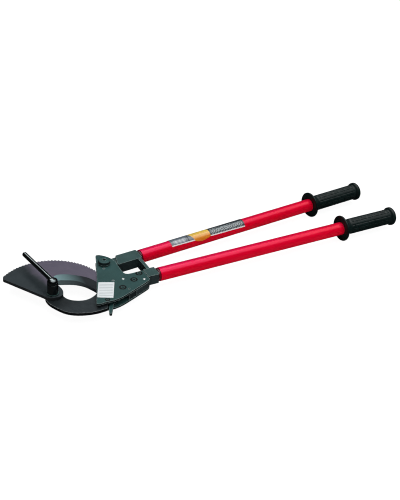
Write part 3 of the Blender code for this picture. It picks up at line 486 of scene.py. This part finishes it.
def decal_mat(name):
    """Printed film: slate band, amber panel and dark band with an abstract row of chevrons and rings."""
    m = Mat(name)
    local = m.scaled(1000.0, 1000.0, 1000.0, HANDLE_ANGLE, tuple(MOVING_BASE))
    lx, ly, lz = m.axes(local)[0], m.axes(local)[1], m.axes(local)[2]
    deg = m.math("MULTIPLY", m.math("ARCTAN2", lz, m.math("MULTIPLY", ly, -1.0)), 180.0 / math.pi)
    # distance above the sheet's own lower line, in degrees
    f = m.range(lx, DECAL_FROM, DECAL_TO, 0.0, 1.0)
    low = m.range(f, 0.0, 1.0, DECAL_LOW[0], DECAL_LOW[1])
    above = m.math("SUBTRACT", deg, low)
    tone = m.noise(1.0, 4.0, 0.6, m.scaled(60.0, 300.0, 300.0, HANDLE_ANGLE))

    def between(v, a, b, soft=0.25):
        return m.math("MULTIPLY", m.range(v, a - soft, a + soft, 0.0, 1.0), m.range(v, b - soft, b + soft, 1.0, 0.0))

    slate = m.mix(m.range(tone, 0.3, 0.7, 0.0, 1.0), (0.085, 0.115, 0.150), (0.135, 0.165, 0.195))
    dark = m.mix(m.range(tone, 0.3, 0.7, 0.0, 1.0), (0.018, 0.026, 0.032), (0.040, 0.052, 0.060))
    amber = m.mix(m.range(above, -8.0, 84.0, 0.0, 1.0, True), (0.74, 0.20, 0.006), (0.88, 0.62, 0.09))
    amber = m.mix(m.range(tone, 0.4, 0.8, 0.0, 0.25), amber, (0.92, 0.62, 0.12))
    # left band: three plain pale bars along it
    bars = m.range(m.math("ABSOLUTE", m.math("SUBTRACT", m.math("FRACT", m.math("MULTIPLY", above, 1.0 / 11.0)), 0.5)), 0.20, 0.28, 1.0, 0.0)
    bar = m.math("MULTIPLY", m.math("MULTIPLY", between(lx, 64.0, 88.0, 0.4), between(above, 16.5, 49.5, 0.6)), bars)
    left = m.mix(m.math("MULTIPLY", bar, 0.85), slate, (0.62, 0.68, 0.72))
    stripe = m.math("MULTIPLY", between(lx, 92.5, 94.5, 0.2), between(above, 8.0, 80.0, 2.0))
    left = m.mix(stripe, left, (0.02, 0.025, 0.03))
    # right band: chevrons above and below a row of rings
    pitch = 9.0
    u = m.math("DIVIDE", m.math("SUBTRACT", lx, 142.0), pitch)
    cell = m.math("SUBTRACT", m.math("FRACT", u), 0.5)
    v = m.math("DIVIDE", m.math("SUBTRACT", above, 38.0), 46.0)
    slant = m.math("FRACT", m.math("ADD", m.math("MULTIPLY", u, 1.5), m.math("MULTIPLY", m.math("ABSOLUTE", v), 2.4)))
    chev = m.math("MULTIPLY", between(slant, 0.18, 0.52, 0.05), between(above, 10.0, 66.0, 1.5))
    rr = m.math("SQRT", m.math("ADD", m.math("MULTIPLY", cell, cell),
                               m.math("MULTIPLY", m.math("MULTIPLY", v, v), 1.0)))
    ring = between(rr, 0.20, 0.33, 0.03)
    disc = m.range(rr, 0.40, 0.44, 1.0, 0.0)
    art = m.math("MAXIMUM", m.math("MULTIPLY", chev, m.math("SUBTRACT", 1.0, disc)), ring)
    art = m.math("MULTIPLY", art, between(lx, 141.5, 208.5, 0.3))
    right = m.mix(m.math("MULTIPLY", art, 0.72), dark, (0.50, 0.60, 0.62))
    col = m.mix(between(lx, 137.8, 400.0, 0.3), left, right)
    # white keyline along the lower edge, outside the amber panel
    key = m.range(above, 9.0, 10.0, 1.0, 0.0)
    col = m.mix(key, col, (0.92, 0.92, 0.93))
    slanted = m.math("ADD", lx, m.math("MULTIPLY", above, 0.10))
    panel = m.math("MULTIPLY", m.range(slanted, 105.3, 105.8, 0.0, 1.0), m.range(lx, 137.7, 138.3, 1.0, 0.0))
    panel = m.math("MAXIMUM", panel, m.range(above, -0.6, 0.0, 1.0, 0.0))
    col = m.mix(panel, col, amber)
    scuff = m.noise(1.0, 5.0, 0.7, m.scaled(60.0, 1400.0, 1400.0, 8.0))
    col = m.mix(m.range(scuff, 0.66, 0.78, 0.0, 0.35), col, (0.35, 0.34, 0.33))
    m.put("Base Color", col).put("Metallic", 0.0)
    m.put("Roughness", m.range(scuff, 0.3, 0.75, 0.26, 0.42))
    m.put("Coat Weight", 0.5).put("Coat Roughness", 0.14)
    m.put("Normal", m.bump(scuff, 0.05, 0.0001))
    return m.m


def floor_mat(name):
    """Pale lit table: a matt white sheet glowing a little from below, so that shadows on it stay faint.
    It bounces light up like white card, but polished black parts mirror it as a dark sheet."""
    m = Mat(name)
    cloud = m.noise(1.6, 3.0, 0.5)
    fine = m.noise(260.0, 2.0, 0.5)
    col = m.mix(m.range(cloud, 0.3, 0.7, 0.0, 1.0), (0.17, 0.17, 0.17), (0.19, 0.19, 0.19))
    m.put("Base Color", col).put("Roughness", 0.85).put("Specular IOR Level", 0.0)
    m.put("Normal", m.bump(fine, 0.03, 0.0005))
    glow = m.nt.nodes.new("ShaderNodeEmission")
    glow.inputs["Color"].default_value = (1.0, 1.0, 1.0, 1.0)
    path = m.nt.nodes.new("ShaderNodeLightPath")
    m.feed(glow, 1, m.math("MULTIPLY", path.outputs["Is Camera Ray"], 0.95))
    bounced = m.mix(path.outputs["Is Glossy Ray"], (0.80, 0.80, 0.80), (0.04, 0.04, 0.04))
    m.put("Base Color", m.mix(path.outputs["Is Camera Ray"], bounced, col))
    add = m.nt.nodes.new("ShaderNodeAddShader")
    m.nt.links.new(m.b.outputs[0], add.inputs[0])
    m.nt.links.new(glow.outputs[0], add.inputs[1])
    m.nt.links.new(add.outputs[0], m.out.inputs["Surface"])
    return m.m


# screw centres, used for the rings of painted shade round the screw heads
SCREW_AT = [row(107.9, -31.6, 9.4), row(133.7, -19.2, 9.4), row(148.7, -6.4, 9.4)]
SMALL_AT = [row(72.2, -52.2, 9.4)]
SLOTS = {
    "plate_grey": plate_mat("plate_finish", (0.0165, 0.050, 0.049), (0.028, 0.076, 0.074), (0.011, 0.018, 0.019),
                            rings=((SCREW_AT, 4.7, 6.1), (SMALL_AT, 3.1, 4.2))),
    "blade_steel": blade_mat("blade_finish"),
    "jaw_steel": jaw_mat("jaw_finish"),
    "black_gloss": black_mat("black_finish"),
    "red_paint": red_mat("red_finish", (0.80, 0.0003, 0.021), (0.875, 0.0005, 0.029), 0.19, 0.13),
    # painted shade: the dark red on the tube collars stands for the shading at the tubes' rounded ends
    "dark_red": red_mat("collar_painted_shade_finish", (0.085, 0.004, 0.010), (0.12, 0.006, 0.014), 0.4),
    "grip_rubber": rubber_mat("rubber_finish"),
    "zinc": bright_mat("zinc_finish", (0.40, 0.42, 0.41), (0.50, 0.52, 0.50), (0.26, 0.42), 0.85),
    "bright_pin": bright_mat("pin_finish", (0.74, 0.76, 0.76), (0.86, 0.87, 0.87), (0.16, 0.28), 0.6),
    "screw_dark": plate_mat("screw_finish", (0.020, 0.054, 0.053), (0.032, 0.075, 0.072), (0.002, 0.003, 0.003),
                            (0.3, 0.42), 0.1, (0.10, 0.14, 0.13), 0.25,
                            ((SCREW_AT, 3.3, 5.2), (SMALL_AT, 2.0, 3.3))),
    "label_white": label_mat("label_finish"),
    "spring_steel": bright_mat("spring_finish", (0.30, 0.30, 0.31), (0.38, 0.38, 0.39), (0.22, 0.34), 0.9),
}
BLOCK = plate_mat("block_finish", (0.028, 0.062, 0.060), (0.044, 0.090, 0.088), (0.024, 0.037, 0.039))
DULL = bright_mat("dull_pin_finish", (0.10, 0.13, 0.13), (0.16, 0.19, 0.19), (0.3, 0.42), 0.6)
SLOT_OF = {s["node"]: s["material_slot"] for s in frame["record"]["subparts"]}
DECAL = decal_mat("decal_finish")

ROUND = ("fixed_tube", "moving_tube", "lock_lever", "handle_decal", "pivot_stud")
BEVELS = {  # node: (width in metres, angle limit in degrees, segments)
    "top_plate": (0.0008, 40, 2), "bottom_plate": (0.0008, 40, 2),
    "fixed_jaw": (0.0009, 40, 2), "moving_blade": (0.00028, 55, 1),
    "rear_spacer": (0.0004, 50, 2), "fixed_socket": (0.0009, 40, 3), "moving_socket": (0.0009, 40, 3),
    "stop_arm": (0.0007, 40, 2), "handle_pivot_nut": (0.0006, 30, 2),
    "plate_nut_1": (0.0005, 30, 2), "plate_nut_2": (0.0005, 30, 2), "plate_nut_3": (0.0005, 30, 2),
    "handle_pivot_bolt": (0.0003, 50, 2), "label_plate": (0.00012, 50, 1), "release_lever": (0.0005, 45, 2),
    "holding_pawl": (0.0003, 45, 2), "drive_pawl": (0.0003, 45, 2), "lock_hub": (0.0003, 50, 2),
    "handle_pivot_washer": (0.0003, 50, 2), "handle_pivot_washer_top": (0.0003, 50, 2),
    "pivot_washer_lower": (0.0003, 50, 2), "lock_washer": (0.0003, 50, 2),
    "fixed_tube_collar": (0.0002, 50, 1), "moving_tube_collar": (0.0002, 50, 1),
}

for name, ob in nodes.items():
    mat = DECAL if name == "handle_decal" else DULL if name in ("stop_pin", "spring_anchor_pin") else SLOTS[SLOT_OF[name]]
    if name in ("fixed_socket", "moving_socket", "stop_arm"):
        mat = BLOCK
    if not ob.material_slots:
        ob.data.materials.append(mat)
    for s in ob.material_slots:
        s.material = mat
    weld = ob.modifiers.new("weld", "WELD")
    weld.merge_threshold = 0.000004
    if name in ROUND:
        wn = ob.modifiers.new("face_normals", "WEIGHTED_NORMAL")
        wn.mode = "FACE_AREA_WITH_ANGLE"
        wn.weight = 60
        wn.keep_sharp = False
    if name in BEVELS:
        width, limit, segments = BEVELS[name]
        bv = ob.modifiers.new("round_edges", "BEVEL")
        bv.width = width
        bv.segments = segments
        bv.limit_method = "ANGLE"
        bv.angle_limit = math.radians(limit)
        bv.use_clamp_overlap = True
        bv.harden_normals = False
        wn = ob.modifiers.new("face_normals", "WEIGHTED_NORMAL")
        wn.mode = "FACE_AREA"
        wn.weight = 60
        wn.keep_sharp = False


# ---------------------------------------------------------------- ribbed grips
def grip(name, node, body, base, angle_deg, mat):
    """The moulded grip: flange, pads in staggered rows standing on a waisted barrel, rolled end rim."""
    d = Vector((math.cos(math.radians(angle_deg)), math.sin(math.radians(angle_deg)), 0.0))
    side = Vector((-d.y, d.x, 0.0))
    up = Vector((0.0, 0.0, 1.0))
    L = 115.9
    ROWS = 14
    PER = 12                                   # points round each row of pads
    N = ROWS * PER
    pads_from, pads_to = 17.0, 104.5
    PADS = 6
    plain = [(11.95, 0.0), (22.3, 0.0), (23.1, 0.35), (23.5, 1.1), (23.5, 2.3), (23.1, 3.2), (22.2, 3.8), (19.4, 4.3),
             (17.0, 5.2), (15.5, 7.0), (14.6, 9.8), (14.15, 13.0), (13.4, 15.6)]
    tail = [(13.4, 105.6), (14.05, 106.6), (14.9, 107.4), (16.1, 108.2), (16.7, 109.0), (16.9, 110.0), (16.9, 112.6),
            (16.6, 113.8), (15.7, 114.9), (14.2, 115.6), (11.0, 115.75), (6.0, 115.85), (0.0, 115.9)]
    stations = []                              # (distance, profile radius or None where the pads are)
    for r, s in plain:
        stations.append((s, r))
    step = 0.72
    count = int(round((pads_to - pads_from) / step))
    for k in range(count + 1):
        stations.append((pads_from + (pads_to - pads_from) * k / count, None))
    for r, s in tail:
        stations.append((s, r))

    def smooth(t):
        t = max(0.0, min(1.0, t))
        return t * t * (3 - 2 * t)

    pitch = (pads_to - pads_from) / PADS

    def pad_height(s, k):
        """Pad height at distance s and point k round, in millimetres."""
        row_i, p = divmod(k, PER)
        across = abs((p + 0.5) / PER - 0.5) * 2.0      # 0 mid pad, 1 in the groove
        a = smooth((0.86 - across) / 0.20)
        off = 0.0 if row_i % 2 == 0 else pitch * 0.5
        t = ((s - pads_from + off) / pitch) % 1.0
        along = abs(t - 0.5) * 2.0
        b = smooth((0.93 - along) / 0.09)
        ends = smooth((s - pads_from) / 1.6) * smooth((pads_to - s) / 1.6)
        return 0.5 * a * b * ends

    bm = bmesh.new()
    b0 = base
    rings = []
    for s, r in stations:
        if r is not None and r < 1e-6:
            rings.append([bm.verts.new(b0 + d * (s / 1000.0))])
            continue
        ring = []
        for k in range(N):
            t = 2 * math.pi * (k + 0.5) / N
            rad = r if r is not None else 13.35 + 1.6 * pad_height(s, k)
            ring.append(bm.verts.new(b0 + d * (s / 1000.0) + (side * math.sin(t) + up * math.cos(t)) * (rad / 1000.0)))
        rings.append(ring)
    # blind bore back up the inside, so the grip is a real sleeve with an end cap
    bore = [(11.85, 0.4), (11.85, 112.2), (0.0, 112.2)]
    inner = []
    for r, s in bore:
        if r < 1e-6:
            inner.append([bm.verts.new(b0 + d * (s / 1000.0))])
        else:
            inner.append([bm.verts.new(b0 + d * (s / 1000.0) + (side * math.sin(t) + up * math.cos(t)) * (r / 1000.0))
                          for t in [2 * math.pi * (k + 0.5) / N for k in range(N)]])
    chain = list(reversed(inner)) + rings
    for a, c in zip(chain, chain[1:]):
        for k in range(N):
            j = (k + 1) % N
            if len(a) == 1:
                bm.faces.new((a[0], c[j], c[k]))
            elif len(c) == 1:
                bm.faces.new((a[k], a[j], c[0]))
            else:
                bm.faces.new((a[k], a[j], c[j], c[k]))
    bmesh.ops.recalc_face_normals(bm, faces=bm.faces)
    if bm.calc_volume(signed=True) < 0:
        bmesh.ops.reverse_faces(bm, faces=bm.faces)
    me = bpy.data.meshes.new(name)
    bm.to_mesh(me)
    bm.free()
    for p in me.polygons:
        p.use_smooth = True
    me.set_sharp_from_angle(angle=math.radians(60))
    ob = bpy.data.objects.new(name, me)
    scene.collection.objects.link(ob)
    me.materials.append(mat)
    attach(ob, body)
    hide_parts(node)
    return ob


grip("fixed_grip_ribbed", "fixed_grip", "frame_body", row(553.5, -10.4, 0.0), 0.0, SLOTS["grip_rubber"])
CA, SA = math.cos(math.radians(HANDLE_ANGLE)), math.sin(math.radians(HANDLE_ANGLE))
GRIP_S = (544.7 - 177.6) / CA
grip("moving_grip_ribbed", "moving_grip", "moving_handle",
     MOVING_BASE + Vector((CA, SA, 0.0)) * (GRIP_S / 1000.0), HANDLE_ANGLE, SLOTS["grip_rubber"])

# ---------------------------------------------------------------- floor
fm = bpy.data.meshes.new("floor")
fb = bmesh.new()
half, cells = 7.0, 8
grid = [[fb.verts.new((-half + 2 * half * i / cells, -half + 2 * half * j / cells, -0.0002)) for j in range(cells + 1)]
        for i in range(cells + 1)]
for i in range(cells):
    for j in range(cells):
        fb.faces.new((grid[i][j], grid[i + 1][j], grid[i + 1][j + 1], grid[i][j + 1]))
fb.to_mesh(fm)
fb.free()
floor = bpy.data.objects.new("floor", fm)
scene.collection.objects.link(floor)
fm.materials.append(floor_mat("floor_finish"))

# ---------------------------------------------------------------- finish
bpy.context.view_layer.update()
